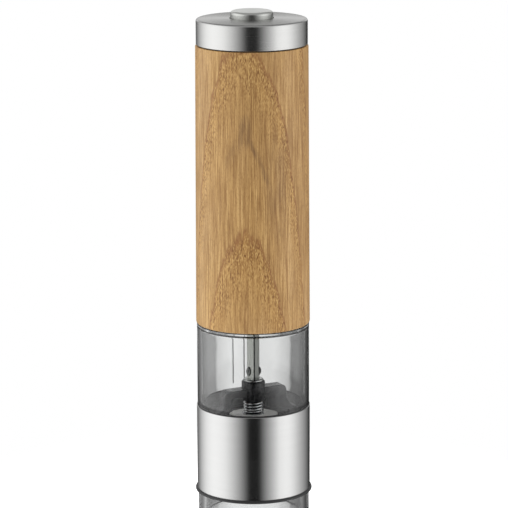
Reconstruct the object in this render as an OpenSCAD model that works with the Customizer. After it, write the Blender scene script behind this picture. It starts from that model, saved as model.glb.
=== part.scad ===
// Push-button battery pepper mill, standing on its clear base cap.
// Millimetres, +Z up, origin at the centre of the base cap's underside.
// Below, inside the steel housing, a ceramic grinder; above it the clear peppercorn container;
// above that the power unit (two planetary stages, motor and four cells) inside the wooden sleeve.

/* [Heights] */
// Height of the clear base cap below the seal ring
base_cap_h = 12.2; // [11:0.1:14]
// Height of the soft seal ring
seal_h = 1.3; // [1.2:0.1:2]
// Height of the steel housing round the grinder
housing_h = 37.1; // [37:0.1:38]
// Height of the clear container between the housing and the wood
container_h = 37; // [36:0.1:45]
// Length of the wooden sleeve
wood_len = 121; // [121:0.1:135]
// Height of the top cap, with the dark gap under its steel
top_cap_h = 11.7; // [11.4:0.1:12.2]
// How far the button stands proud of the top cap
button_proud = 3; // [2.5:0.1:3.5]

/* [Diameters] */
// Outer diameter of the wooden sleeve at its foot
wood_d = 49.4; // [49:0.1:51]
// Outer diameter of the wooden sleeve at its top
wood_top_d = 48.4; // [48.2:0.1:49]
// Outer diameter of the steel top cap
top_cap_d = 47.8; // [47.6:0.1:48.4]
// Outer diameter of the clear container
container_d = 48.8; // [48.4:0.1:49]
// Outer diameter of the steel housing
housing_d = 49.4; // [49:0.1:49.6]
// Largest diameter of the seal ring
seal_d = 51; // [50.2:0.1:51.4]
// Outer diameter of the base cap
base_cap_d = 48.5; // [48.2:0.1:49]
// Diameter of the push button
button_d = 18.4; // [18:0.2:19]

/* [Mechanism] */
// Side of the square drive shaft
shaft_side = 4; // [3.8:0.1:4]
// Travel of the push button
button_travel = 1.5; // [1:0.1:1.6]
// Gear module of both planetary stages
gear_module = 0.8; // [0.78:0.01:0.8]
// Outer diameter of the ceramic rotor's top
rotor_d = 21.6; // [21:0.1:21.6]

/* [Hidden] */
$fn = 96;

fit = 0.05;         // running clearance on a radius
wall = 1.6;         // common wall of the moulded pieces

// Heights of the outside joints between the pieces
z_seal = base_cap_h;
z_steel = z_seal + seal_h;
z_cont = z_steel + housing_h;
z_wood = z_cont + container_h;
z_cap = z_wood + wood_len;
z_top = z_cap + top_cap_h;

// Grinder
skirt_r = 23.6;                     // container skirt and grinder body inside the steel
body_top = z_cont - 5;              // rim that the container and the bridge stand on
rotor_r = rotor_d / 2;
rotor_top = body_top - 0.4;
rotor_neck = rotor_top - 12.6;      // below it the rotor widens
rotor_foot = rotor_neck - 6;
cone_slope = 0.36;
stator_r = 17;
boss_bottom = body_top + 6.6;
boss_top = boss_bottom + 9;
boss_r = 5.1;
bridge_turn = 27;                   // the bridge's arms are turned this far round
screw_ring = 19.95;
spindle_r = 3.3;

// Power unit
unit_foot = z_wood - 0.6;
unit_r = 19.3;
unit_bore = 17.9;
flange_z = z_wood + 5.6;
liner_r = 19.7;
wood_bore = 20.4;
cover_top = unit_foot + 1.2;
stage_h = 5;                        // face width of the gears
carrier_t = 2.2;
z_carrier2 = cover_top + 0.4;
z_gear2 = z_carrier2 + carrier_t + 0.2;
z_carrier1 = z_gear2 + stage_h + 0.4;
z_gear1 = z_carrier1 + carrier_t + 0.2;
z_plate = z_gear1 + stage_h + 2.2;
z_motor = z_plate + 2;
motor_r = 13.9;
motor_len = 28;
z_endbell = z_motor + motor_len;
z_floor = z_endbell + 7.2;          // floor of the battery holder
z_bay = z_floor + 2;
bay_len = 54.4;
z_roof = z_bay + bay_len;
z_switch = z_roof + 1.6;
actuator_top = z_switch + 5;

// Gears: 12 teeth on suns and planets, 36 in the ring, 25 degree pressure angle
sun_n = 12;
ring_n = 36;
backlash = 0.1;
mesh_r = sun_n * gear_module;       // distance of the planets from the axis
addendum = 0.9 * gear_module;
dedendum = 1.15 * gear_module;
pin_r = 1.5;

// Cells
cell_r = 7.2;
cell_ring = 10.25;
cell_len = 49.3;
cell_turns = [45, 135, 225, 315];

// ---- shared shapes ----

// Points of an arc about c, from angle a0 to a1
function arc(c, r, a0, a1, steps = 6) =
    [for (i = [0:steps]) let (a = a0 + (a1 - a0) * i / steps) [c[0] + r * cos(a), c[1] + r * sin(a)]];

// Involute of an angle in degrees
function inv(a) = tan(a) * 180 / PI - a;
// Half the angle of a tooth (or of a ring's tooth space) at radius r
function tooth_half(n, width, r) =
    let (pitch = n * gear_module / 2, base = pitch * cos(25), angle = acos(min(1, base / r)))
    width / 2 / pitch * 180 / PI + inv(25) - inv(angle);
// Outline of a gear with teeth from r_in out to r_out
function gear_points(n, r_in, r_out, width, turn) =
    let (base = n * gear_module / 2 * cos(25),
         start = max(r_in, base + 0.01),
         radii = [r_in, start, (start + r_out) / 2, r_out])
    [for (k = [0:n - 1]) let (centre = turn + k * 360 / n)
        for (side = [-1, 1], i = [0:3])
            let (r = side < 0 ? radii[i] : radii[3 - i],
                 a = centre + side * tooth_half(n, width, max(r, start)))
            [r * cos(a), r * sin(a)]];

module gear(n, turn, bore) {
    pitch = n * gear_module / 2;
    width = PI * gear_module / 2 - backlash;
    linear_extrude(stage_h) difference() {
        polygon(gear_points(n, pitch - dedendum, pitch + addendum, width, turn));
        if (bore > 0) circle(bore);
    }
}

module tube(r_out, r_in, z0, z1) {
    translate([0, 0, z0]) difference() {
        cylinder(r = r_out, h = z1 - z0);
        translate([0, 0, -1]) cylinder(r = r_in, h = z1 - z0 + 2);
    }
}

module disc(r, z0, z1) {
    translate([0, 0, z0]) cylinder(r = r, h = z1 - z0);
}

// Coil of round wire about the Z axis, radius growing from r0 to r1 over its height
module coil(r0, r1, wire, z0, z1, turns, steps = 16, sides = 6) {
    n = floor(turns * steps);
    rise = z1 - z0 - 2 * wire;
    points = [for (i = [0:n], k = [0:sides - 1])
        let (t = i / n, a = t * turns * 360, b = k * 360 / sides,
             r = r0 + (r1 - r0) * t + wire * cos(b),
             z = z0 + wire + rise * t + wire * sin(b))
        [r * cos(a), r * sin(a), z]];
    walls = [for (i = [0:n - 1], k = [0:sides - 1])
        let (a = i * sides + k, b = i * sides + (k + 1) % sides)
        [a, b, b + sides, a + sides]];
    ends = [[for (k = [sides - 1:-1:0]) k], [for (k = [0:sides - 1]) n * sides + k]];
    polyhedron(points, concat(walls, ends));
}

module around(r, turns) {
    for (turn = turns) rotate(turn) translate([r, 0, 0]) children();
}

module square_bar(side, z0, z1) {
    rotate(-35) translate([-side / 2, -side / 2, z0]) cube([side, side, z1 - z0]);
}

// ---- base cap (stays on the table) ----

module base_cap() {
    r = base_cap_d / 2;
    color([0.85, 0.87, 0.88, 0.4]) rotate_extrude() polygon(concat(
        [[0, 0]],
        arc([r - 1, 1], 1, -90, 0),
        [[r, z_seal], [22.85, z_seal], [22.85, z_seal + 4.6], [21.2, z_seal + 4.6]],
        arc([20.2, 2.6], 1, 0, -90),
        [[0, 1.6]]));
}

// ---- lower unit: housing, container and grinder ----

module steel_housing() {
    r = housing_d / 2;
    color("silver") rotate_extrude() polygon(concat(
        [[skirt_r + 0.1, z_steel]],
        arc([r - 0.3, z_steel + 0.3], 0.3, -90, 0, 3),
        arc([r - 0.3, z_cont - 0.3], 0.3, 0, 90, 3),
        [[skirt_r + 0.1, z_cont]]));
}

module seal_ring() {
    bulge = seal_h / 2;
    color([0.2, 0.2, 0.21]) rotate_extrude() polygon(concat(
        [[22.95, z_seal]],
        arc([seal_d / 2 - bulge, z_seal + bulge], bulge, -90, 90, 8),
        [[skirt_r + 0.05, z_steel], [skirt_r + 0.05, z_steel + 2.3], [22.95, z_steel + 2.3]]));
}

module pepper_container() {
    r = container_d / 2;
    inner = r - 1.7;
    color([0.85, 0.87, 0.88, 0.4]) union() {
        rotate_extrude() polygon(concat(
            [[21.6, body_top], [skirt_r, body_top], [skirt_r, z_cont + 0.6], [r, z_cont + 0.6]],
            arc([r - 0.5, z_wood - 0.5], 0.5, 0, 90, 3),
            [[21.8, z_wood], [21.8, flange_z], [19.6, flange_z], [19.6, z_wood - 1.8],
             [inner - 0.8, z_wood - 1.8]],
            arc([inner - 0.8, z_wood - 2.6], 0.8, 90, 0, 3),
            [[inner, z_cont + 3], [21.6, z_cont + 1]]));
        // two fine ribs on the far wall line the container up with the bridge
        for (x = [-9.4, -4.4])
            translate([x, sqrt(inner * inner - x * x) - 0.7, z_cont + 3.4])
                cube([0.5, 0.9, container_h - 6]);
    }
}

module container_gasket() {
    color([0.12, 0.12, 0.12]) tube(housing_d / 2 - 0.2, skirt_r, z_cont, z_cont + 0.6);
}

module grinder_body() {
    color([0.13, 0.13, 0.14]) difference() {
        rotate_extrude() polygon([
            [skirt_r + 0.05, z_steel + 2.3], [skirt_r + 0.05, body_top], [16.2, body_top],
            [15, body_top - 0.6], [15, body_top - 1.2], [stator_r, body_top - 1.2], [stator_r, rotor_foot], [15.2, rotor_foot],
            [15.2, rotor_foot - 1.6], [18.2, rotor_foot - 1.6], [18.2, body_top - 4.5],
            [22.95, body_top - 4.5], [22.95, z_steel + 2.3]]);
        around(screw_ring, [bridge_turn, bridge_turn + 180]) disc(0.9, body_top - 5, body_top + 1);
    }
}

module ceramic_stator() {
    neck = rotor_r + 0.4;
    foot = neck + 6 * cone_slope;
    color([0.86, 0.85, 0.83]) difference() {
        rotate_extrude() polygon([
            [stator_r, rotor_foot], [stator_r, body_top - 1.2], [neck + 3.4, body_top - 1.2],
            [neck, rotor_neck], [foot, rotor_foot]]);
        for (k = [0:11]) rotate(k * 30) translate([neck + 1, 0, rotor_neck + 1])
            rotate([0, 0, 45]) cube([1.6, 1.6, 12]);
    }
}

// One arm of the bridge: bar, leg and wide foot, rounded at its outer corner. The web fills it in.
module bridge_arm(web = false) {
    half = 2.9;
    arm_top = boss_top - 3.3;
    knee = [12.6, arm_top - 2.6];
    inside = web
        ? [[3, boss_bottom + 0.6], [5.6, boss_bottom + 0.6], [5.6, body_top + 3], [15.5, body_top + 1]]
        : [[3, boss_bottom + 2], [10.6, boss_bottom + 2], [11.4, boss_bottom + 1], [11.4, body_top + 3]];
    rotate([90, 0, 0]) translate([0, 0, -half]) linear_extrude(2 * half) polygon(concat(
        inside,
        [[16.8, body_top], [21.2, body_top], [21.2, body_top + 1.5], [18.6, body_top + 1.9],
         [16.5, body_top + 3.8], [15.2, body_top + 6.2]],
        arc(knee, 2.6, 0, 90),
        [[3, arm_top]]));
}

module bridge() {
    color([0.15, 0.15, 0.16]) difference() {
        union() {
            disc(boss_r, boss_bottom, boss_top - 0.7);
            translate([0, 0, boss_top - 0.7]) cylinder(r1 = boss_r, r2 = boss_r - 0.7, h = 0.7);
            rotate(bridge_turn) bridge_arm(web = true);
            rotate(bridge_turn + 180) bridge_arm();
        }
        disc(4.3, boss_bottom - 1, boss_top + 1);
        around(screw_ring, [bridge_turn, bridge_turn + 180]) disc(0.9, body_top - 1, body_top + 1.2);
    }
}

module bearing_bush() {
    color([0.72, 0.55, 0.3]) tube(4.3, spindle_r + fit, boss_bottom, boss_top);
}

module bridge_screws() {
    head = body_top - 5.7;
    color("dimgray") around(screw_ring, [bridge_turn, bridge_turn + 180]) {
        disc(0.9, body_top - 4.5, body_top + 1.2);
        difference() {
            disc(1.7, head, body_top - 4.5);
            translate([-1.1, -0.25, head - 0.4]) cube([2.2, 0.5, 1]);
            translate([-0.25, -1.1, head - 0.4]) cube([0.5, 2.2, 1]);
        }
    }
}

module grinder_spring() {
    color("gainsboro") coil(4.1, 4.1, 0.4, rotor_top + 0.5, boss_bottom, 4.25, 24, 8);
}

// ---- spindle, rotor and adjusting knob ----

module spindle() {
    socket = shaft_side + 0.2;
    color("lightgray") difference() {
        union() {
            translate([0, 0, rotor_foot + 3]) cylinder(r = spindle_r, h = rotor_top - rotor_foot - 1.9, $fn = 6);
            disc(2, z_seal + 3, rotor_foot + 3);
            disc(spindle_r, rotor_top + 1.1, boss_top + 0.1);
            rotate_extrude() polygon([[0, boss_top + fit], [4.4, boss_top + fit], [4.4, boss_top + 0.4],
                [3.9, boss_top + 0.8], [0, boss_top + 0.8]]);
        }
        square_bar(socket, rotor_top + 1.9, boss_top + 2);
    }
}

module ceramic_rotor() {
    foot = rotor_r + 6 * cone_slope;
    color([0.86, 0.85, 0.83]) difference() {
        rotate_extrude() polygon([
            [0, rotor_foot], [foot, rotor_foot], [rotor_r, rotor_neck],
            [rotor_r, rotor_top - 0.4], [rotor_r - 0.4, rotor_top], [0, rotor_top]]);
        for (k = [0:7]) rotate(k * 45 + 20) translate([rotor_r - 0.7, 0, rotor_neck + 0.5])
            rotate([0, 0, -45]) cube([2, 2, 14]);
        translate([0, 0, rotor_foot - 1]) cylinder(r = spindle_r + fit, h = 21, $fn = 6);
    }
}

module thrust_washer() {
    color("silver") tube(5.1, spindle_r + fit, rotor_top, rotor_top + 0.5);
}

module adjust_knob() {
    color([0.15, 0.15, 0.16]) difference() {
        union() {
            disc(4.5, rotor_foot - 2, rotor_foot);
            rotate_extrude() polygon([
                [0, z_seal + 2], [6.6, z_seal + 2], [7.4, z_seal + 2.8], [7.4, rotor_foot - 2.8],
                [6.6, rotor_foot - 2], [0, rotor_foot - 2]]);
        }
        for (k = [0:11]) rotate(k * 30) translate([7.9, 0, z_seal + 1]) cylinder(r = 0.9, h = 20, $fn = 12);
        translate([0, 0, z_seal + 1]) cylinder(r = 3.2, h = 20);
    }
}

module knob_insert() {
    color([0.78, 0.62, 0.3]) tube(3.2, 2 + fit, z_seal + 3, rotor_foot);
}

// ---- power unit ----

module drive_housing() {
    color([0.2, 0.2, 0.21]) difference() {
        rotate_extrude() polygon([
            [unit_bore, unit_foot], [unit_r, unit_foot], [unit_r, unit_foot + 3.2],
            [18.5, unit_foot + 3.2], [18.5, unit_foot + 4.8], [unit_r, unit_foot + 4.8],
            [unit_r, flange_z], [21.6, flange_z], [21.6, flange_z + 1.8], [unit_r, flange_z + 1.8],
            [unit_r, z_floor], [unit_bore, z_floor]]);
        // windows over the motor let its heat out
        for (k = [0:3]) rotate(k * 90) translate([15, -4, z_motor + 4]) cube([8, 8, motor_len - 8]);
    }
}

module gearbox_cover() {
    color([0.12, 0.12, 0.13]) difference() {
        disc(unit_bore, unit_foot, cover_top);
        translate([0, 0, unit_foot - 1]) cylinder(r = 4.5, h = 6);
        around(16.3, [90, 210, 330]) {
            translate([0, 0, unit_foot - 1]) cylinder(r = 0.8, h = 6);
            translate([0, 0, unit_foot - 1]) cylinder(r = 1.4, h = 1.6);
        }
    }
}

module cover_screws() {
    color("dimgray") around(16.3, [90, 210, 330]) {
        disc(1.4, unit_foot, unit_foot + 0.6);
        disc(0.8, unit_foot + 0.6, cover_top + 4);
    }
}

module output_bush() {
    color([0.72, 0.55, 0.3]) tube(4.5, 2.95 + fit, unit_foot - 1.2, cover_top);
}

module spigot_seal() {
    color([0.1, 0.1, 0.1]) translate([0, 0, unit_foot + 4]) rotate_extrude() translate([19.02, 0]) circle(0.5, $fn = 24);
}

module ring_gear() {
    pitch = ring_n * gear_module / 2;
    space = PI * gear_module / 2 + backlash;
    color([0.9, 0.9, 0.86]) translate([0, 0, cover_top]) difference() {
        cylinder(r = unit_bore, h = z_plate - cover_top);
        translate([0, 0, -1]) linear_extrude(z_plate - cover_top + 2)
            polygon(gear_points(ring_n, pitch - addendum, pitch + dedendum, space, 5));
        around(16.3, [90, 210, 330]) translate([0, 0, -1]) cylinder(r = 0.8, h = 5);
    }
}

module motor_plate() {
    color("darkgray") difference() {
        disc(unit_bore, z_plate, z_motor);
        translate([0, 0, z_plate - 1]) cylinder(r = 3.3, h = 4);
        around(8, [0, 180]) translate([0, 0, z_plate - 1]) cylinder(r = 1.25, h = 4);
    }
}

module motor_screws() {
    color("dimgray") around(8, [0, 180]) {
        translate([0, 0, z_plate - 1.2]) cylinder(r = 2, h = 1.2);
        translate([0, 0, z_plate]) cylinder(r = 1.25, h = 3);
    }
}

module motor_can() {
    color("silver") difference() {
        union() {
            disc(motor_r, z_motor, z_endbell);
            disc(3.3, z_motor - 1.8, z_motor);
        }
        disc(motor_r - 1, z_motor + 1, z_endbell + 1);
        disc(1 + fit, z_motor - 3, z_motor + 2);
        around(8, [0, 180]) disc(1.25, z_motor - 1, z_motor + 2);
    }
}

module motor_magnets() {
    color([0.25, 0.25, 0.27]) intersection() {
        tube(motor_r - 1, 9.6, z_motor + 4, z_motor + 22);
        union() for (side = [-1, 1])
            translate([side * 12 - 6, -7, z_motor + 3]) cube([12, 14, 20]);
    }
}

module motor_endbell() {
    color([0.15, 0.15, 0.16]) difference() {
        union() {
            disc(motor_r, z_endbell, z_endbell + 2.5);
            disc(motor_r - 1, z_endbell - 2, z_endbell);
            disc(4, z_endbell + 2.5, z_endbell + 4.5);
        }
        disc(motor_r - 2.5, z_endbell - 3, z_endbell + 1);
        disc(1 + fit, z_endbell, z_endbell + 3.5);
        around(10, [0, 180]) translate([-0.25, -1.5, z_endbell]) cube([0.5, 3, 4]);
    }
}

module motor_terminals() {
    color([0.8, 0.66, 0.35]) around(10, [0, 180])
        translate([-0.25, -1.5, z_endbell + 1]) cube([0.5, 3, 5]);
}

module battery_holder() {
    color([0.18, 0.18, 0.19]) difference() {
        disc(unit_r, z_floor, z_roof + 1.6);
        for (turn = cell_turns) rotate(turn) {
            translate([cell_ring, 0, z_bay]) cylinder(r = cell_r + 0.15, h = bay_len);
            translate([cell_ring, -6.6, z_bay]) cube([12, 13.2, bay_len]);
        }
        for (side = [0, 180]) rotate(side) translate([14.9, -1.5, z_floor - 1]) cube([0.6, 3, 4]);
    }
}

// Cells 0 and 2 stand with their positive end up, cells 1 and 3 with it down
module batteries() {
    spring = bay_len - 1 - cell_len - 1.2;
    color([0.75, 0.72, 0.3]) for (k = [0:3]) rotate(cell_turns[k]) translate([cell_ring, 0, 0]) {
        up = k % 2 == 0;
        body = up ? z_bay + 0.5 + spring : z_bay + 0.5 + 1.2;
        disc(cell_r, body, body + cell_len);
        disc(2.7, up ? body + cell_len : body - 1.2, up ? body + cell_len + 1.2 : body);
    }
}

module battery_springs() {
    spring = bay_len - 1 - cell_len - 1.2;
    color("gainsboro") for (k = [0:3]) rotate(cell_turns[k]) translate([cell_ring, 0, 0]) {
        if (k % 2 == 0) coil(4.4, 2.6, 0.35, z_bay + 0.5, z_bay + 0.5 + spring, 2.5, 14, 6);
        else coil(2.6, 4.4, 0.35, z_roof - 0.5 - spring, z_roof - 0.5, 2.5, 14, 6);
    }
}

module contact_strips() {
    color("gainsboro") {
        for (turn = cell_turns) rotate(turn) translate([cell_ring, 0, 0]) {
            disc(5.4, z_bay, z_bay + 0.5);
            disc(5.4, z_roof - 0.5, z_roof);
        }
        for (side = [0, 180]) rotate(side) translate([14.9, -1.5, z_endbell + 6]) cube([0.6, 3, z_bay - z_endbell - 6]);
    }
}

module switch_base() {
    color([0.12, 0.12, 0.12]) difference() {
        translate([-6, -6, z_switch]) cube([12, 12, 3.4]);
        translate([0, 0, z_switch + 0.6]) cylinder(r = 2 + fit, h = 4);
    }
}

module switch_actuator() {
    color("ivory") disc(2, actuator_top - 2.6, actuator_top);
}

// ---- motor rotor ----

module motor_shaft() {
    color("silver") disc(1, z_gear1 - 0.1, z_endbell + 3.2);
}

module motor_armature() {
    color([0.45, 0.3, 0.2]) difference() {
        disc(9, z_motor + 5, z_motor + 21);
        for (k = [0:2]) rotate(k * 120 + 60) translate([3.4, -1.1, z_motor + 4]) cube([8, 2.2, 18]);
        disc(1, z_motor + 4, z_motor + 22);
    }
}

module motor_commutator() {
    color([0.75, 0.45, 0.25]) tube(3, 1, z_motor + 22, z_motor + 26);
}

module sun_pinion() {
    color([0.82, 0.68, 0.35]) translate([0, 0, z_gear1]) gear(sun_n, 0, 1);
}

// ---- planetary stages ----

// Carrier plate with three pins for its planets
module carrier_plate(z) {
    disc(13.3, z, z + carrier_t);
    around(mesh_r, [0, 120, 240]) disc(pin_r, z + carrier_t, z + carrier_t + stage_h + 0.3);
}

module carrier_1() {
    color([0.85, 0.85, 0.8]) {
        carrier_plate(z_carrier1);
        translate([0, 0, z_gear2]) gear(sun_n, 0, 0);
        disc(3, z_gear2 + stage_h, z_carrier1);
    }
}

// A planet's tooth gap faces the sun
module planet(turn, z) {
    translate([mesh_r * cos(turn), mesh_r * sin(turn), z]) gear(sun_n, turn + 15, pin_r + fit);
}

module planet_1a() { color([0.93, 0.93, 0.9]) planet(0, z_gear1); }
module planet_1b() { color([0.93, 0.93, 0.9]) planet(120, z_gear1); }
module planet_1c() { color([0.93, 0.93, 0.9]) planet(240, z_gear1); }
module planet_2a() { color([0.93, 0.93, 0.9]) planet(0, z_gear2); }
module planet_2b() { color([0.93, 0.93, 0.9]) planet(120, z_gear2); }
module planet_2c() { color([0.93, 0.93, 0.9]) planet(240, z_gear2); }

module carrier_2() {
    color([0.85, 0.85, 0.8]) difference() {
        carrier_plate(z_carrier2);
        square_bar(shaft_side, z_carrier2 - 1, z_carrier2 + carrier_t + 1);
    }
}

// Leaf-shaped ear pressed out of the shaft: one on its front face, one on its right corner
module ear() {
    leaf = 2.8;
    rotate([90, 0, 0]) linear_extrude(1, center = true) intersection() {
        translate([leaf - 1.1, 0]) circle(leaf);
        translate([1.1 - leaf, 0]) circle(leaf);
    }
}

module drive_shaft() {
    tip = rotor_top + 2.4;
    color("silver") union() {
        difference() {
            square_bar(shaft_side, tip, z_carrier2 + carrier_t);
            rotate(280) translate([1.9, -0.2, tip - 1]) cube([1, 0.4, unit_foot - 0.8 - tip]);
        }
        disc(2.95, unit_foot - 1.8, z_carrier2 - 0.1);
        rotate(-35) translate([-1, -shaft_side / 2, boss_top + 4]) ear();
        rotate(10) translate([2.4, 0, boss_top + 4]) ear();
    }
}

// ---- sleeve: wood, liner and top cap ----

module wood_sleeve() {
    color([0.65, 0.5, 0.31]) rotate_extrude() polygon(concat(
        [[22, z_wood]],
        arc([wood_d / 2 - 0.8, z_wood + 0.8], 0.8, -90, 0, 4),
        arc([wood_top_d / 2 - 0.4, z_cap - 0.4], 0.4, 0, 90, 3),
        [[wood_bore, z_cap], [wood_bore, flange_z + 4], [22, flange_z + 4]]));
}

module liner_tube() {
    color([0.16, 0.16, 0.17]) rotate_extrude() polygon([
        [liner_r, flange_z + 2.1], [21.9, flange_z + 2.1], [21.9, flange_z + 4], [wood_bore, flange_z + 4],
        [wood_bore, z_cap - 6.6], [liner_r, z_cap - 6.6]]);
}

module top_cap() {
    r = top_cap_d / 2;
    hole = button_d / 2 + 0.3;
    dome = 0.4;
    color("silver") rotate_extrude() polygon(concat(
        [[r - 1, z_cap + 0.5]],
        arc([r - 0.25, z_cap + 0.75], 0.25, -90, 0, 2),
        arc([r - 0.9, z_top - dome - 0.9], 0.9, 0, 82),
        [[hole, z_top], [hole, z_top - 1], [r - 1.6, z_top - dome - 1], [r - 1, z_top - dome - 1.6]]));
}

module cap_liner() {
    rim = top_cap_d / 2 - 1;
    well = button_d / 2 + 0.2;
    under = z_top - 2;
    color([0.14, 0.14, 0.15]) rotate_extrude() polygon([
        [3 + fit, z_cap - 2.2], [5, z_cap - 2.2], [5, z_cap - 1], [18.6, z_cap - 1], [18.6, z_cap - 6.4],
        [wood_bore - 0.05, z_cap - 6.4], [wood_bore - 0.05, z_cap], [rim, z_cap], [rim, under],
        [rim - 1.4, under], [rim - 1.4, z_cap + 2], [well + 1.6, z_cap + 2], [well + 1.6, under],
        [well, under], [well, z_cap + 2], [5, z_cap + 2], [5, z_cap + 4.4], [3 + fit, z_cap + 4.4]]);
}

// ---- button ----

module button() {
    r = button_d / 2;
    crown = z_top + button_proud;
    color("silver") rotate_extrude() polygon(concat(
        [[0, crown - 1.4], [r - 1.2, crown - 1.4], [r - 1.2, z_top - 3.4], [r, z_top - 3.4]],
        arc([r - 1.3, crown - 1.3], 1.3, 0, 90, 6),
        [[0, crown]]));
}

module button_stem() {
    crown = z_top + button_proud;
    color([0.2, 0.2, 0.21]) {
        disc(3, actuator_top, crown - 1.4);
        disc(3.6, actuator_top, z_cap - 2.25);
    }
}

module button_spring() {
    color("gainsboro") coil(6.4, 6.4, 0.35, z_cap + 2, z_top + button_proud - 1.4, 5.5, 20, 6);
}

base_cap();
steel_housing();
seal_ring();
pepper_container();
container_gasket();
grinder_body();
ceramic_stator();
bridge();
bearing_bush();
bridge_screws();
grinder_spring();
spindle();
ceramic_rotor();
thrust_washer();
adjust_knob();
knob_insert();
drive_housing();
gearbox_cover();
cover_screws();
output_bush();
spigot_seal();
ring_gear();
motor_plate();
motor_screws();
motor_can();
motor_magnets();
motor_endbell();
motor_terminals();
battery_holder();
batteries();
battery_springs();
contact_strips();
switch_base();
switch_actuator();
motor_shaft();
motor_armature();
motor_commutator();
sun_pinion();
carrier_1();
planet_1a();
planet_1b();
planet_1c();
carrier_2();
drive_shaft();
planet_2a();
planet_2b();
planet_2c();
wood_sleeve();
liner_tube();
top_cap();
cap_liner();
button();
button_stem();
button_spring();
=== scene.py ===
import math

import bmesh
import bpy
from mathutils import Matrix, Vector


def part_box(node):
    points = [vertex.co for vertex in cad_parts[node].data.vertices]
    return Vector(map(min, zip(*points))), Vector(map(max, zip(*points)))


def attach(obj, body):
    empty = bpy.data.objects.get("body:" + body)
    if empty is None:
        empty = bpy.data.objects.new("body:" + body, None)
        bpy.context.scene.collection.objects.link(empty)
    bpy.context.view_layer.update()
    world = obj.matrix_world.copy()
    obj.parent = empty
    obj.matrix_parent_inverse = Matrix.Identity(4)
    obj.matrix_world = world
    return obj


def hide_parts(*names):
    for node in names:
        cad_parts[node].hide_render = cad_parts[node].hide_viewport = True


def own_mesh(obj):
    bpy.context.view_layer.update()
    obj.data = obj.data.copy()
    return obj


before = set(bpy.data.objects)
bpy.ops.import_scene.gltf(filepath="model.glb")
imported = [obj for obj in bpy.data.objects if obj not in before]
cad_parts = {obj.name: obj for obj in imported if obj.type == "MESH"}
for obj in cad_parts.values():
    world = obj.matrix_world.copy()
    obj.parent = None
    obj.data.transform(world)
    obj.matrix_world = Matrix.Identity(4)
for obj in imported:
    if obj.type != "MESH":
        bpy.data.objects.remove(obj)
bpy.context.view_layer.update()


# ---- Camera ----
# It stands one and a quarter metres away, a good hand above the mill's top, aims slightly to the right of
# the mill's axis and is turned by a quarter of a degree.
MM = 0.001
view_distance = 1250 * MM
view_elevation = math.radians(12.23)
view_height = 117.4 * MM
view_right = 0.55 * MM
view_roll = math.radians(-0.25)
frame_pixels = 508
pixel_size = 0.4327
frame_width = frame_pixels * pixel_size * MM

camera_data = bpy.data.cameras.new("camera")
camera_data.sensor_width = 36
camera_data.lens = camera_data.sensor_width * view_distance / frame_width
camera_data.clip_end = 20  # metres
camera = bpy.data.objects.new("camera", camera_data)
bpy.context.scene.collection.objects.link(camera)
back = Vector((0, -math.cos(view_elevation), math.sin(view_elevation)))
camera.location = Vector((view_right, 0, view_height)) + back * view_distance
camera.rotation_euler = (math.pi / 2 - view_elevation, 0, 0)
camera.rotation_euler.rotate_axis("Z", view_roll)
bpy.context.scene.camera = camera
bpy.context.scene.view_settings.view_transform = "Standard"


# ---- Studio ----
# Wide soft panels stand at both sides, with a narrow dark gap in front where the camera is and a small
# white panel behind, so that the steel shows a dark middle and the clear parts show light behind them.
class Wire:
    """A node's socket, which sums and products can be written on."""

    def __init__(self, tree, socket=None):
        self.tree = tree
        self.socket = socket

    def node(self, kind, settings=None, sockets=None, output=0):
        """Adds a node: its settings first, then the values or wires of its sockets."""
        made = self.tree.nodes.new(kind)
        for name, value in (settings or {}).items():
            if name == "stops":
                ramp = made.color_ramp
                while len(ramp.elements) < len(value):
                    ramp.elements.new(0.5)
                for stop, (place, colour) in zip(ramp.elements, value):
                    stop.position = place
                    stop.color = (*colour, 1) if isinstance(colour, tuple) else (colour, colour, colour, 1)
            else:
                setattr(made, name, value)
        for name, value in (sockets or {}).items():
            if isinstance(value, Wire):
                self.tree.links.new(value.socket, made.inputs[name])
            else:
                made.inputs[name].default_value = value
        return Wire(self.tree, made.outputs[output] if made.outputs else None)

    def outputs(self):
        """All outputs of this wire's node."""
        return [Wire(self.tree, socket) for socket in self.socket.node.outputs]

    def math(self, operation, *values):
        return self.node("ShaderNodeMath", {"operation": operation}, dict(enumerate(values)))

    def __add__(self, other):
        return self.math("ADD", self, other)

    __radd__ = __add__

    def __sub__(self, other):
        return self.math("SUBTRACT", self, other)

    def __rsub__(self, other):
        return self.math("SUBTRACT", other, self)

    def __mul__(self, other):
        return self.math("MULTIPLY", self, other)

    __rmul__ = __mul__

    def __truediv__(self, other):
        return self.math("DIVIDE", self, other)

    def __pow__(self, other):
        return self.math("POWER", self, other)

    def mix(self, first, second):
        """Goes from the first colour to the second as this wire goes from 0 to 1."""
        return self.node("ShaderNodeMix", {"data_type": "RGBA"}, {0: self, 6: first, 7: second}, 2)

    def tint(self, other):
        """This colour multiplied by another."""
        settings = {"data_type": "RGBA", "blend_type": "MULTIPLY"}
        return self.node("ShaderNodeMix", settings, {0: 1.0, 6: self, 7: other}, 2)

    def ramp(self, *stops):
        return self.node("ShaderNodeValToRGB", {"stops": stops}, {0: self})

    def step(self, low, high):
        """0 below low, 1 above high, and a smooth rise between them."""
        settings = {"interpolation_type": "SMOOTHSTEP"}
        return self.node("ShaderNodeMapRange", settings, {"Value": self, "From Min": low, "From Max": high})


def joined(x, y, z):
    """One vector from three wires or numbers."""
    owner = next(v for v in (x, y, z) if isinstance(v, Wire))
    return owner.node("ShaderNodeCombineXYZ", sockets={0: x, 1: y, 2: z})


world = bpy.data.worlds.new("studio")
world.use_nodes = True
world.node_tree.nodes.clear()
sky = Wire(world.node_tree)
direction = sky.node("ShaderNodeTexCoord")
across, along, upward = sky.node("ShaderNodeSeparateXYZ", sockets={0: direction}).outputs()
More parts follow.
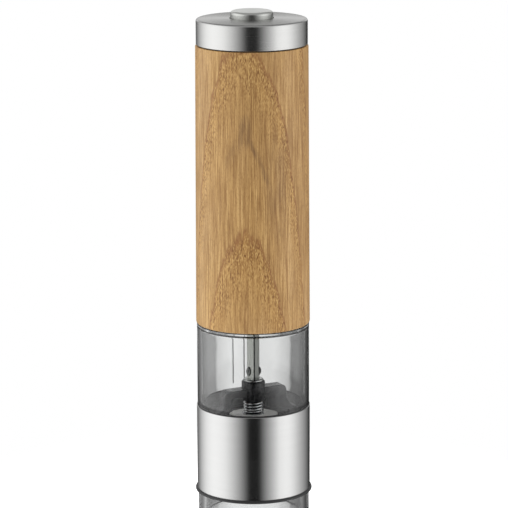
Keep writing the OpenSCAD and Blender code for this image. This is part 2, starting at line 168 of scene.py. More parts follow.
# how far round from straight behind the mill: 0 behind, 0.5 at the sides, 1 at the camera, minus on the left
turn = across.math("ARCTAN2", across, along) / math.pi
left_side = (0 - turn).ramp(
    (0.0, 0.02), (0.133, 0.17), (0.2, 0.4), (0.262, 0.68), (0.311, 0.89), (0.356, 1.08), (0.40, 1.22),
    (0.467, 1.34), (0.52, 1.37), (0.6, 1.31), (0.66, 1.21), (0.7, 1.06), (0.745, 0.88), (0.795, 0.66),
    (0.84, 0.46), (0.888, 0.24), (0.915, 0.13), (0.938, 0.04), (0.96, 0.004))
right_side = turn.ramp(
    (0.0, 0.02), (0.15, 0.03), (0.206, 0.17), (0.267, 0.33), (0.36, 0.58), (0.44, 0.85), (0.506, 1.12),
    (0.567, 1.28), (0.622, 1.3), (0.7, 1.18), (0.75, 0.87), (0.795, 0.64), (0.84, 0.43),
    (0.888, 0.21), (0.915, 0.09), (0.938, 0.02), (0.96, 0.004))
panels = turn.step(-0.001, 0.001).mix(left_side, right_side)
# a white backdrop stands behind, above the table, and there is less light straight overhead
behind = 1 - turn.math("ABSOLUTE", turn).step(0.08, 0.22)
backdrop = upward.step(0.03, 0.1) * (1 - upward.step(0.4, 0.62)) * behind
WHITE = (1, 1, 1, 1)
mirrored = (backdrop * 0.9).mix(panels, WHITE)
mirrored = upward.step(0.5, 0.8).mix(mirrored, (0.42, 0.42, 0.42, 1))
# a mirror-smooth edge also catches the white table behind the mill
table = (1 - upward.step(-0.02, 0.02)) * (1 - turn.math("ABSOLUTE", turn).step(0.03, 0.07))
mirrored = table.mix(mirrored, WHITE)
# through the clear parts the backdrop shows as a bright strip only a few degrees wide
off_axis = turn * 180
seen_span = 40
seen_left = ((0 - off_axis) / seen_span).ramp(
    (0.0, 0.86), (0.04, 0.82), (0.058, 0.7), (0.083, 0.57), (0.1, 0.52), (0.115, 0.2), (0.135, 0.21),
    (0.215, 0.17), (0.25, 0.12), (0.325, 0.08), (0.4, 0.03), (0.8, 0.02))
seen_right = (off_axis / seen_span).ramp(
    (0.0, 0.86), (0.04, 0.76), (0.05, 0.68), (0.063, 0.58), (0.085, 0.48), (0.1, 0.4), (0.115, 0.06),
    (0.15, 0.08), (0.24, 0.05), (0.35, 0.02), (0.5, 0.02), (0.8, 0.02))
seen_through = off_axis.step(-0.1, 0.1).mix(seen_left, seen_right)
seen_through = off_axis.math("ABSOLUTE", off_axis).step(34, 60).mix(seen_through, panels * 0.76)
# matt things are lit evenly, from both sides and from above
high_up = upward.math("MAXIMUM", upward, 0.0)
even = 0.52 + across.math("ABSOLUTE", across) * 0.9 + high_up * 0.3 - across * 0.12
even = joined(even, even, even)
rays = {wire.socket.name: wire for wire in sky.node("ShaderNodeLightPath").outputs()}
shown = rays["Is Glossy Ray"].mix(even, mirrored)
shown = rays["Is Transmission Ray"].mix(shown, seen_through)
shown = (rays["Glossy Depth"].step(0.4, 0.6) * 0.5).mix(shown, mirrored)
shown = rays["Diffuse Depth"].step(0.4, 0.6).mix(shown, even)
shown = rays["Is Camera Ray"].mix(shown, WHITE)
light = sky.node("ShaderNodeBackground", sockets={"Color": shown, "Strength": 1.0})
sky.node("ShaderNodeOutputWorld", sockets={"Surface": light})
bpy.context.scene.world = world


# ---- Floor ----
# A small white table top that fades into the white round it and keeps the mill's soft contact shadow. It
# glows a little, so that it stays white, and the clear parts see only the strip right behind the mill.
def new_finish(name, **constants):
    """A material whose surface is a Principled shader with these constant sockets."""
    material = bpy.data.materials.new(name)
    material.use_nodes = True
    material.node_tree.nodes.clear()
    wire = Wire(material.node_tree)
    sockets = {key.replace("_", " "): value for key, value in constants.items()}
    surface = wire.node("ShaderNodeBsdfPrincipled", sockets=sockets)
    wire.node("ShaderNodeOutputMaterial", sockets={"Surface": surface})
    return material, surface


def drive(surface, **links):
    """Links wires to a Principled shader's sockets."""
    for name, wire in links.items():
        surface.tree.links.new(wire.socket, surface.socket.node.inputs[name.replace("_", " ")])


def place_on(surface):
    """The place on the mill in millimetres: as one vector, and as x, y and z."""
    raw = surface.node("ShaderNodeTexCoord", output=3)
    point = surface.node("ShaderNodeVectorMath", {"operation": "SCALE"}, {0: raw, "Scale": 1000.0})
    return point, *surface.node("ShaderNodeSeparateXYZ", sockets={0: point}).outputs()


def noise(vector, scale=1.0, detail=2.0, roughness=0.5):
    sockets = {"Vector": vector, "Scale": scale, "Detail": detail, "Roughness": roughness}
    return vector.node("ShaderNodeTexNoise", sockets=sockets)


def bump(height, strength, distance):
    """A normal from a height, whose full step is this many millimetres."""
    sockets = {"Strength": strength, "Distance": distance * MM, "Height": height}
    return height.node("ShaderNodeBump", sockets=sockets)


floor_r = 200
floor_drop = 0.1
bpy.ops.object.select_all(action="DESELECT")
bpy.ops.mesh.primitive_circle_add(
    vertices=128, radius=floor_r * MM, fill_type="NGON", location=(0, 0, -floor_drop * MM))
floor = bpy.context.object
floor.name = "floor"
floor_material, floor_surface = new_finish("white_table", Roughness=0.7)
floor_point, floor_x, floor_y, _ = place_on(floor_surface)
floor_away = (floor_x * floor_x + floor_y * floor_y) ** 0.5
drive(floor_surface, Base_Color=noise(floor_point, 0.05).ramp((0.3, 0.84), (0.7, 0.88)))
glow = floor_surface.node("ShaderNodeEmission", sockets={"Color": WHITE, "Strength": 0.7})
floor_rays = {wire.socket.name: wire for wire in floor_surface.node("ShaderNodeLightPath").outputs()}
beyond = floor_surface.node("ShaderNodeEmission", sockets={"Color": WHITE, "Strength": 1.15})
glow = floor_surface.node(
    "ShaderNodeMixShader", sockets={0: floor_rays["Is Transmission Ray"], 1: glow, 2: beyond})
lit = floor_surface.node("ShaderNodeAddShader", sockets={0: glow, 1: floor_surface})
clear = floor_surface.node("ShaderNodeBsdfTransparent")
beside = floor_x.math("ABSOLUTE", floor_x).step(9.5, 11.0)
gone = floor_away.step(60, 150)
gone = gone.math("MAXIMUM", gone, floor_rays["Is Glossy Ray"])
gone = gone.math("MAXIMUM", gone, floor_rays["Is Transmission Ray"] * beside)
faded = floor_surface.node("ShaderNodeMixShader", sockets={0: gone, 1: lit, 2: clear})
floor_surface.node("ShaderNodeOutputMaterial", {"is_active_output": True}, {"Surface": faded})
floor.data.materials.append(floor_material)


# ---- Base cap ----
# A clear injection-moulded cup that keeps fallen pepper off the table. Its thin upstand plugs into the
# bottom of the housing. Polished, with walls that are very slightly wavy.
def only(part):
    """Leaves one object selected and active."""
    bpy.ops.object.select_all(action="DESELECT")
    part.select_set(True)
    bpy.context.view_layer.objects.active = part
    return part


def tidy(part):
    """Welds doubled corners and turns all faces outwards."""
    only(part)
    bpy.ops.object.mode_set(mode="EDIT")
    bpy.ops.mesh.select_all(action="SELECT")
    bpy.ops.mesh.remove_doubles(threshold=1e-6)
    bpy.ops.mesh.normals_make_consistent(inside=False)
    bpy.ops.object.mode_set(mode="OBJECT")
    return part


def turned(name, rings, sides=192):
    """A piece of revolution about the mill's axis, drawn out ring by ring from a circle.

    Rings are (radius, height) in mm. A list that ends where it starts gives a hollow piece."""
    hollow = rings[0] == rings[-1]
    (radius, height), *rest = rings
    fill = "NOTHING" if hollow else "NGON"
    bpy.ops.object.select_all(action="DESELECT")
    bpy.ops.mesh.primitive_circle_add(
        vertices=sides, radius=radius * MM, location=(0, 0, height * MM), fill_type=fill)
    part = bpy.context.object
    part.name = name
    bpy.ops.object.transform_apply(location=True)
    bpy.ops.object.mode_set(mode="EDIT")
    bpy.ops.mesh.select_all(action="SELECT")
    for new_radius, new_height in rest:
        rise = {"value": (0, 0, (new_height - height) * MM)}
        if hollow:
            bpy.ops.mesh.extrude_edges_move(TRANSFORM_OT_translate=rise)
        else:
            bpy.ops.mesh.extrude_region_move(TRANSFORM_OT_translate=rise)
        ratio = new_radius / radius
        bpy.ops.transform.resize(value=(ratio, ratio, 1), center_override=(0, 0, new_height * MM))
        radius, height = new_radius, new_height
    bpy.ops.object.mode_set(mode="OBJECT")
    return tidy(part)


def soften(part, width, rims, segments=4):
    """Rounds the circular edges at these (radius, height) places, in mm."""
    only(part)
    bpy.ops.object.mode_set(mode="EDIT")
    bpy.ops.mesh.select_mode(type="EDGE")
    bpy.ops.mesh.select_all(action="DESELECT")
    mesh = bmesh.from_edit_mesh(part.data)
    for edge in mesh.edges:
        ends = [(v.co.xy.length / MM, v.co.z / MM) for v in edge.verts]
        edge.select_set(any(
            all(abs(r - rim_r) < 0.02 and abs(z - rim_z) < 0.02 for r, z in ends) for rim_r, rim_z in rims))
    bmesh.update_edit_mesh(part.data)
    bpy.ops.mesh.bevel(offset=width * MM, segments=segments, affect="EDGES")
    bpy.ops.object.mode_set(mode="OBJECT")
    return part


def smooth(part, angle=32):
    """Smooth shading with true flats: the normals lean to the larger faces."""
    only(part)
    bpy.ops.object.shade_smooth_by_angle(angle=math.radians(angle))
    weighted = part.modifiers.new("flats", "WEIGHTED_NORMAL")
    weighted.keep_sharp = True
    bpy.ops.object.modifier_apply(modifier=weighted.name)
    return part


def fit_out(part, material, slot, body, *nodes):
    """Gives a new piece its finish, the body that it moves with and the nodes it stands for; the slot is not
    used.
    """
    part.data.materials.clear()
    part.data.materials.append(material)
    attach(part, body)
    if nodes:
        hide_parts(*nodes)


def paint(material, *nodes):
    """Puts a finish on solids that show as they are."""
    for node in nodes:
        shown_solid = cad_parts[node]
        shown_solid.data.materials.clear()
        shown_solid.data.materials.append(material)


def size_of(node):
    """Outer radius, lowest and highest height of a round node, in mm."""
    low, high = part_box(node)
    return high.x / MM, low.z / MM, high.z / MM


clear_plastic, clear_surface = new_finish(
    "clear_plastic", Transmission_Weight=1.0, IOR=1.49, Roughness=0.01)
clear_point, *_ = place_on(clear_surface)
clear_streak = noise(clear_point, 0.35, detail=3.0)
drive(clear_surface, Base_Color=clear_streak.ramp((0.3, (0.965, 0.972, 0.97)), (0.7, (0.985, 0.99, 0.985))))
drive(clear_surface, Normal=bump(noise(clear_point, 0.1), 0.12, 0.2))

cup_r, cup_low, cup_top = size_of("base_cap")
seal_r, seal_low, seal_high = size_of("seal_ring")
cup_plug_r = 22.85
cup_bore = 21.2
cup_floor = 1.6
base_cup = turned("base_cup", [
    (cup_r, cup_low), (cup_r, seal_low), (cup_plug_r, seal_low), (cup_plug_r, cup_top), (cup_bore, cup_top),
    (cup_bore, cup_floor)])
soften(base_cup, 1.0, [(cup_r, cup_low)], 6)
soften(base_cup, 0.9, [(cup_bore, cup_floor)], 5)
soften(base_cup, 0.2, [(cup_r, seal_low), (cup_plug_r, cup_top), (cup_bore, cup_top)], 3)
smooth(base_cup)
fit_out(base_cup, clear_plastic, "clear_plastic", "base_cap", "base_cap")


# ---- Seal ring ----
# A soft dark elastomer ring with a rounded outer edge. It is clipped into the foot of the housing, and the
# base cap pushes up against it.
seal_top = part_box("steel_housing")[0].z / MM
seal_bore = 22.95
seal_collar_r = 23.65
seal_band = turned("seal_band", [
    (seal_bore, seal_low), (seal_r, seal_low), (seal_r, seal_top), (seal_collar_r, seal_top),
    (seal_collar_r, seal_high), (seal_bore, seal_high), (seal_bore, seal_low)])
soften(seal_band, 0.6, [(seal_r, seal_low), (seal_r, seal_top)], 6)
smooth(seal_band)
seal_rubber, seal_surface = new_finish("seal_rubber")
seal_point, *_ = place_on(seal_surface)
seal_grain = noise(seal_point, 2.5, detail=4.0)
drive(seal_surface, Base_Color=seal_grain.ramp((0.3, (0.012, 0.012, 0.0125)), (0.7, (0.022, 0.022, 0.023))))
drive(seal_surface, Roughness=seal_grain.ramp((0.3, 0.4), (0.7, 0.52)))
drive(seal_surface, Normal=bump(noise(seal_point, 9.0), 0.2, 0.03))
fit_out(seal_band, seal_rubber, "seal_rubber", "lower_unit", "seal_ring")


# ---- Steel housing ----
# A drawn stainless tube round the grinder, finely brushed round and round and left bare. It is a push fit
# over the container's foot and the grinder body.
def brushed_finish(name, tint, rough, anisotropy=0.9, rim=None):
    """Stainless steel with fine lines that run round the axis; above this rim height the top is painted half
    as bright and a dark band is painted round the rim's curl, painted shade.
    """
    material, surface = new_finish(
        name, Metallic=1.0, Anisotropic=anisotropy, Anisotropic_Rotation=0.25)
    _, x, y, z = place_on(surface)
    lines = (x * x + y * y) ** 0.5 + z
    fine = noise(joined(x * 0.03, y * 0.03, lines * 9), detail=3.0, roughness=0.7)
    broad = noise(joined(x * 0.02, y * 0.02, lines * 1.3))
    shade = fine * 0.7 + broad * 0.3
    dark, light_tint = (tuple(c * k for c in tint) for k in (0.965, 1.025))
    colour = shade.ramp((0.3, dark), (0.7, light_tint))
    if rim is not None:
        # painted shade: a dark band round the rim's rounded edge, and the top above the rim at half the
        # side's colour
        rim_shade = z.step(rim - 0.35, rim - 0.1) * (1 - z.step(rim, rim + 0.12))
        colour = z.step(rim - 0.1, rim + 0.05).mix(colour, colour.tint((0.5, 0.5, 0.49, 1)))
        colour = (rim_shade * 0.5).mix(colour, (0.04, 0.04, 0.04, 1))
    drive(surface, Base_Color=colour)
    drive(surface, Roughness=fine.ramp((0.3, rough * 0.94), (0.7, rough * 1.06)))
    drive(surface, Normal=bump(shade, 0.04, 0.02))
    return material


housing_steel = brushed_finish("housing_steel", (0.65, 0.65, 0.645), 0.22)
housing_r, housing_low, housing_high = size_of("steel_housing")
housing_bore = 23.7
housing_shell = turned("housing_shell", [
    (housing_bore, housing_low), (housing_r, housing_low), (housing_r, housing_high),
    (housing_bore, housing_high), (housing_bore, housing_low)])
soften(housing_shell, 0.12, [(housing_r, housing_low)], 2)
soften(housing_shell, 0.25, [(housing_r, housing_high)], 3)
smooth(housing_shell)
fit_out(housing_shell, housing_steel, "brushed_steel", "lower_unit", "steel_housing")


# ---- Container gasket ----
# A thin black moulded ring, pinched between the housing's rim and the step in the container's wall, that
# keeps crumbs out of the joint.
gasket_r, gasket_low, gasket_high = size_of("container_gasket")
gasket_bore = 23.62
gasket_band = turned("gasket_band", [
    (gasket_bore, gasket_low), (gasket_r, gasket_low), (gasket_r, gasket_high), (gasket_bore, gasket_high),
    (gasket_bore, gasket_low)])
soften(gasket_band, 0.15, [(gasket_r, gasket_low), (gasket_r, gasket_high)], 3)
smooth(gasket_band)
fit_out(gasket_band, seal_rubber, "seal_rubber", "lower_unit", "container_gasket")


# ---- Peppercorn container ----
# A clear moulded cylinder with a neck that the head plugs into, and two fine ribs on its far wall that
# line it up with the bridge. Polished like the base cap.
def block(name, centre, size):
    """A box with this centre and size, in mm."""
    bpy.ops.object.select_all(action="DESELECT")
    bpy.ops.mesh.primitive_cube_add(size=MM, location=[c * MM for c in centre])
    part = bpy.context.object
    part.name = name
    bpy.ops.transform.resize(value=size)
    bpy.ops.object.transform_apply(location=True, scale=True)
    return part


def combine(part, other, operation):
    """Joins another solid to a piece, or cuts it out of it, and clears it away."""
    only(part)
    change = part.modifiers.new("change", "BOOLEAN")
    change.operation = operation
    change.object = other
    bpy.ops.object.modifier_apply(modifier=change.name)
    bpy.data.objects.remove(other)
    return part


container_r, container_low, container_high = size_of("pepper_container")
container_bore = container_r - 1.7
shoulder = 87.6
neck_r = 21.8
neck_bore = 19.6
foot_r = 23.6
foot_bore = 21.6
container_shell = turned("container_shell", [
    (foot_r, container_low), (foot_r, gasket_high), (container_r, gasket_high), (container_r, shoulder),
    (neck_r, shoulder), (neck_r, container_high), (neck_bore, container_high), (neck_bore, shoulder - 1.8),
    (container_bore, shoulder - 1.8), (container_bore, housing_high + 3), (foot_bore, housing_high + 1),
    (foot_bore, container_low), (foot_r, container_low)])
rib_low = 54
rib_height = 31
rib_width = 0.5
for rib_side in (-9.4, -4.4):
    rib_back = (container_bore ** 2 - rib_side ** 2) ** 0.5
    rib_middle = (rib_side + rib_width / 2, rib_back - 0.25, rib_low + rib_height / 2)
    combine(container_shell, block("rib", rib_middle, (rib_width, 0.9, rib_height)), "UNION")
soften(container_shell, 0.5, [(container_r, shoulder)], 4)
soften(container_shell, 0.8, [(container_bore, shoulder - 1.8)], 4)
soften(container_shell, 0.2, [(neck_r, container_high), (neck_bore, container_high)], 2)
smooth(container_shell)
fit_out(container_shell, clear_plastic, "clear_plastic", "lower_unit", "pepper_container")


# ---- Grinder body and stator ----
# A black moulded plastic body pressed into the housing, holding the fixed ceramic grinding ring. Its lip
# covers the ring's top, and two screws come up through it into the bridge.
def moulded_finish(name, colour, rough, grain=6.0, depth=0.02):
    """Moulded plastic: one colour through, with a fine texture and slightly uneven gloss."""
    material, surface = new_finish(name)
    point, *_ = place_on(surface)
    cloud = noise(point, 0.25, detail=3.0)
    low, high = (tuple(c * k for c in colour) for k in (0.88, 1.12))
    drive(surface, Base_Color=cloud.ramp((0.3, low), (0.7, high)))
    drive(surface, Roughness=cloud.ramp((0.3, rough * 0.85), (0.7, rough * 1.15)))
    drive(surface, Normal=bump(noise(point, grain), 0.15, depth))
    return material


def plated_finish(name, colour, rough, grain=4.0):
    """Plain metal with slight tool marks and patches."""
    material, surface = new_finish(name, Metallic=1.0)
    point, *_ = place_on(surface)
    cloud = noise(point, 0.6, detail=4.0)
    low, high = (tuple(c * k for c in colour) for k in (0.85, 1.1))
    drive(surface, Base_Color=cloud.ramp((0.3, low), (0.7, high)))
    drive(surface, Roughness=cloud.ramp((0.3, rough * 0.8), (0.7, rough * 1.2)))
    drive(surface, Normal=bump(noise(point, grain), 0.15, 0.01))
    return material


black_plastic = moulded_finish("black_plastic", (0.02, 0.02, 0.0215), 0.38)
grey_plastic = moulded_finish("grey_plastic", (0.045, 0.046, 0.05), 0.45)
zinc_plate = plated_finish("zinc_plate", (0.5, 0.51, 0.52), 0.32)
ceramic, ceramic_surface = new_finish("ceramic", Coat_Weight=0.15)
ceramic_point, *_ = place_on(ceramic_surface)
ceramic_speck = noise(ceramic_point, 3.0, detail=4.0)
drive(ceramic_surface, Base_Color=ceramic_speck.ramp((0.3, (0.7, 0.69, 0.67)), (0.7, (0.78, 0.77, 0.75))))
drive(ceramic_surface, Roughness=ceramic_speck.ramp((0.3, 0.45), (0.7, 0.6)))
drive(ceramic_surface, Normal=bump(ceramic_speck, 0.3, 0.03))
paint(black_plastic, "grinder_body")
# painted shade: the stator's ceramic is coloured dark grey, for the shade in the throat between it and the
# rotor
stator_shade_ceramic = moulded_finish("stator_shade_ceramic", (0.05, 0.05, 0.052), 0.5, 3.0, 0.03)
paint(stator_shade_ceramic, "ceramic_stator")
paint(zinc_plate, "bridge_screws")


# ---- Bridge ----
# A black moulded bearing bridge that stands in the container: a round boss round the spindle, and two
# stepped arms that come down to the grinder body, one to the back right and one to the front left.
def outline(name, points, thickness):
    """A plate across Y, drawn point by point round its (x, z) outline in mm, then made thick."""
    (x, z), *rest = points
    bpy.ops.object.select_all(action="DESELECT")
    bpy.ops.mesh.primitive_plane_add(size=MM, location=(x * MM, -thickness / 2 * MM, z * MM))
    part = bpy.context.object
    part.name = name
    bpy.ops.object.transform_apply(location=True)
    bpy.ops.object.mode_set(mode="EDIT")
    bpy.ops.mesh.select_mode(type="VERT")
    bpy.ops.mesh.select_all(action="SELECT")
    bpy.ops.mesh.merge(type="CENTER")
    for new_x, new_z in rest:
        bpy.ops.mesh.extrude_vertices_move(
            TRANSFORM_OT_translate={"value": ((new_x - x) * MM, 0, (new_z - z) * MM)})
        x, z = new_x, new_z
    bpy.ops.mesh.select_all(action="SELECT")
    bpy.ops.mesh.edge_face_add()
    bpy.ops.mesh.extrude_region_move(TRANSFORM_OT_translate={"value": (0, thickness * MM, 0)})
    bpy.ops.object.mode_set(mode="OBJECT")
    return tidy(part)


def round_edges(part, width, segments=3, angle=30):
    """Rounds every edge sharper than this angle."""
    only(part)
    rounding = part.modifiers.new("edges", "BEVEL")
    rounding.width = width * MM
    rounding.segments = segments
    rounding.limit_method = "ANGLE"
    rounding.angle_limit = math.radians(angle)
    bpy.ops.object.modifier_apply(modifier=rounding.name)
    return part


def spun(part, degrees):
    """Turns a piece's mesh about the mill's axis."""
    only(part)
    bpy.ops.transform.rotate(value=-math.radians(degrees), orient_axis="Z", center_override=(0, 0, 0))
    bpy.ops.object.transform_apply(rotation=True, location=True)
    return part


def fused(name, *parts):
    """One object from several."""
    only(parts[0])
    for part in parts[1:]:
        part.select_set(True)
    bpy.ops.object.join()
    parts[0].name = name
    return parts[0]


bridge_low, bridge_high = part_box("bridge")
bridge_foot = bridge_low.z / MM
boss_top = bridge_high.z / MM
boss_bottom = bridge_foot + 6.6
boss_r = 5.1
boss_bore = 4.3
arm_top = boss_top - 3.3
arm_width = 5.8
knee_x = 12.6
knee_r = 2.6
knee = [(knee_x + knee_r * math.sin(math.radians(a)), arm_top - knee_r + knee_r * math.cos(math.radians(a)))
        for a in range(90, -1, -15)]
arm_foot = [
    (16.8, bridge_foot), (21.2, bridge_foot), (21.2, bridge_foot + 1.5), (18.6, bridge_foot + 1.9),
    (16.5, bridge_foot + 3.8), (15.2, bridge_foot + 6.2)]
far_arm = outline("far_arm", [
    (3, boss_bottom + 0.6), (5.6, boss_bottom + 0.6), (5.6, bridge_foot + 3), (15.5, bridge_foot + 1),
    *arm_foot, *knee, (3, arm_top)], arm_width)
near_arm = outline("near_arm", [
    (3, boss_bottom + 2), (10.6, boss_bottom + 2), (11.4, boss_bottom + 1), (11.4, bridge_foot + 3),
    *arm_foot, *knee, (3, arm_top)], arm_width)
for arm, arm_turn in ((far_arm, 27), (near_arm, 207)):
    round_edges(arm, 0.45)
    spun(arm, arm_turn)
bridge_boss = turned("bridge_boss", [
    (boss_r, boss_bottom), (boss_r, boss_top - 0.7), (4.4, boss_top), (boss_bore, boss_top),
    (boss_bore, boss_bottom), (boss_r, boss_bottom)], 96)
soften(bridge_boss, 0.3, [(boss_r, boss_bottom)], 3)
bridge_frame = fused("bridge_frame", bridge_boss, far_arm, near_arm)
smooth(bridge_frame)
bridge_plastic = moulded_finish("bridge_plastic", (0.032, 0.032, 0.034), 0.28, 3.0)
fit_out(bridge_frame, bridge_plastic, "black_plastic", "lower_unit", "bridge")
bronze = plated_finish("bronze", (0.56, 0.36, 0.17), 0.35, 2.0)
paint(bronze, "bearing_bush")


# ---- Spindle, spring and washer ----
# The drawn steel spindle turns in the bridge. Its low round head rests on the boss, and a coil spring
# under the boss pushes a washer and the rotor down.
def coil(name, radius, wire, low, high, turns, sides=14, steps=40):
    """A coil of round wire about the axis, sizes in mm, screwed up from one section of the wire."""
    bpy.ops.object.select_all(action="DESELECT")
    bpy.ops.mesh.primitive_circle_add(
        vertices=sides, radius=wire * MM, location=(radius * MM, 0, (low + wire) * MM),
        rotation=(math.pi / 2, 0, 0))
    part = bpy.context.object
    part.name = name
    bpy.ops.object.transform_apply(location=True, rotation=True)
    screw = part.modifiers.new("turns", "SCREW")
    screw.angle = math.tau * turns
    screw.screw_offset = (high - low - 2 * wire) * MM
    screw.steps = round(steps * turns)
    bpy.ops.object.modifier_apply(modifier=screw.name)
    bpy.ops.object.mode_set(mode="EDIT")
    bpy.ops.mesh.select_all(action="SELECT")
    bpy.ops.mesh.fill_holes(sides=sides)
    bpy.ops.object.mode_set(mode="OBJECT")
    tidy(part)
    return smooth(part, 60)


def drawn_finish(name, colour, rough, slot=False):
    """Bright drawn steel: faint lengthwise lines, uneven gloss and, if it has one, painted shade inside the
    slot in front.
    """
    material, surface = new_finish(name, Metallic=1.0)
    _, x, y, z = place_on(surface)
    draw = noise(joined(x * 4, y * 4, z * 0.15), detail=3.0)
    low, high = (tuple(c * k for c in colour) for k in (0.9, 1.06))
    shade = draw.ramp((0.3, low), (0.7, high))
    if slot:
        # painted shade: the inside of the slot is coloured near black
        beside_slot = x * 0.985 + y * 0.174
        inside = (1 - beside_slot.math("ABSOLUTE", beside_slot).step(0.2, 0.34)) * (0 - y).step(1.2, 1.5)
        shade = inside.mix(shade, (0.01, 0.01, 0.01, 1))
    drive(surface, Base_Color=shade)
    drive(surface, Roughness=draw.ramp((0.3, rough * 0.85), (0.7, rough * 1.2)))
    drive(surface, Normal=bump(draw, 0.1, 0.01))
    return material


shaft_steel = drawn_finish("shaft_steel", (0.4, 0.41, 0.385), 0.3, True)
spring_steel = drawn_finish("spring_steel", (0.88, 0.89, 0.9), 0.2)
spring_low, spring_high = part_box("grinder_spring")
spring_coil = coil("spring_coil", 4.1, 0.4, spring_low.z / MM, spring_high.z / MM, 4.25)
fit_out(spring_coil, spring_steel, "spring_steel", "rotor", "grinder_spring")
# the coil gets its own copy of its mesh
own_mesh(spring_coil)
spindle_steel, spindle_surface = new_finish("spindle_steel", Metallic=1.0)
spindle_point, _, _, spindle_z = place_on(spindle_surface)
spindle_mark = noise(spindle_point, 2.0, detail=3.0)
# the spindle is coloured near black below the boss's top and bright steel on its head
bare = spindle_z.step(boss_top - 0.3, boss_top - 0.1)
drive(spindle_surface, Base_Color=bare.mix((0.03, 0.03, 0.032, 1), (0.6, 0.61, 0.6, 1)))
drive(spindle_surface, Roughness=spindle_mark.ramp((0.3, 0.22), (0.7, 0.32)))
drive(spindle_surface, Normal=bump(spindle_mark, 0.1, 0.01))
paint(spindle_steel, "spindle")
paint(zinc_plate, "thrust_washer")


# ---- Rotor and adjusting knob ----
# The rotor is a ribbed ceramic cone that the spindle carries round. The knob under it, black plastic
# with finger flutes and a brass insert, sets how fine the mill grinds.
brass = plated_finish("brass", (0.68, 0.5, 0.22), 0.3, 2.0)
paint(ceramic, "ceramic_rotor")
paint(black_plastic, "adjust_knob")
paint(brass, "knob_insert")


# ---- Gearbox ----
# The head's lower end: a dark moulded housing whose spigot plugs into the container, sealed by an
# O-ring and closed by a screwed cover with a bronze bush, round a moulded ring gear.
white_plastic = moulded_finish("white_plastic", (0.66, 0.655, 0.61), 0.4, 3.0)
paint(grey_plastic, "drive_housing")
paint(black_plastic, "gearbox_cover")
paint(zinc_plate, "cover_screws", "motor_plate", "motor_screws")
paint(bronze, "output_bush")
paint(seal_rubber, "spigot_seal")
paint(white_plastic, "ring_gear", "carrier_1", "carrier_2")
paint(white_plastic, *(f"planet_{stage}{place}" for stage in "12" for place in "abc"))
paint(brass, "sun_pinion")


# ---- Drive shaft ----
# A square drawn bar with one corner to the front, running from the gearbox down into the spindle. Two
# leaf-shaped ears pressed out of it keep it from sliding too far in.
shaft_low, shaft_high = (corner.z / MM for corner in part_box("drive_shaft"))
shaft_side = 4
shaft_turn = -35
slot_turn = 280
slot_low = shaft_low - 0.9
slot_high = 85.1
journal_r = 2.95
journal_low = 85.2
shaft_bar = block(
    "shaft_bar", (0, 0, (shaft_low + shaft_high) / 2), (shaft_side, shaft_side, shaft_high - shaft_low))
round_edges(shaft_bar, 0.25, 3)
spun(shaft_bar, shaft_turn)
slot_tool = block("slot_tool", (2.4, 0, (slot_low + slot_high) / 2), (1, 0.4, slot_high - slot_low))
combine(shaft_bar, spun(slot_tool, slot_turn), "DIFFERENCE")
journal = turned("journal", [(journal_r, journal_low), (journal_r, 88.5)], 64)
soften(journal, 0.2, [(journal_r, journal_low)], 2)


def leaf(name, x, y, z, degrees, half_width=1.1, half_height=2.18, thickness=1.0):
    """A pointed leaf standing on its tip, turned about the axis before it is set in place."""
    reach = (half_height ** 2 + half_width ** 2) / (2 * half_width)
    swing = math.asin(half_height / reach)
    right = [(reach * math.cos(a) - reach + half_width, reach * math.sin(a))
             for a in (swing * (i / 6 - 1) for i in range(13))]
    left = [(-px, pz) for px, pz in reversed(right[1:-1])]
    ear = outline(name, [(px, pz) for px, pz in right + left], thickness)
    round_edges(ear, 0.2, 2, 40)
    only(ear)
    bpy.ops.transform.translate(value=(x * MM, y * MM, z * MM))
    bpy.ops.object.transform_apply(location=True)
    return spun(ear, degrees)


ear_height = boss_top + 4
front_ear = leaf("front_ear", -1.0, -2.0, ear_height, shaft_turn)
corner_ear = leaf("corner_ear", 2.4, 0, ear_height, 10)
drive_bar = fused("drive_bar", shaft_bar, journal)
smooth(drive_bar)
ears = fused("shaft_ears", front_ear, corner_ear)
smooth(ears)
# painted shade: the ears, pressed from the bar's own steel, are coloured far darker than the bar
ear_shade_steel = plated_finish("ear_shade_steel", (0.16, 0.165, 0.16), 0.38)
fit_out(drive_bar, shaft_steel, "shaft_steel", "output", "drive_shaft")
fit_out(ears, ear_shade_steel, "shaft_steel", "output")


# ---- Motor ----
# A small direct-current motor: a zinc-plated can with two magnets, a wound armature with a copper
# commutator, a plastic end bell and tinned brass terminals.
magnet = moulded_finish("magnet", (0.06, 0.06, 0.066), 0.5, 8.0)
copper_winding, copper_surface = new_finish("copper_winding", Metallic=1.0, Coat_Weight=0.4)
_, copper_x, copper_y, copper_z = place_on(copper_surface)
strands = noise(joined(copper_x * 0.6, copper_y * 0.6, copper_z * 7), detail=2.0)
drive(copper_surface, Base_Color=strands.ramp((0.35, (0.32, 0.11, 0.05)), (0.65, (0.66, 0.3, 0.16))))
drive(copper_surface, Roughness=strands.ramp((0.3, 0.25), (0.7, 0.45)))
drive(copper_surface, Normal=bump(strands, 0.5, 0.05))
paint(zinc_plate, "motor_can")
paint(magnet, "motor_magnets")
paint(black_plastic, "motor_endbell")
paint(brass, "motor_terminals")
paint(shaft_steel, "motor_shaft")
paint(copper_winding, "motor_armature", "motor_commutator")


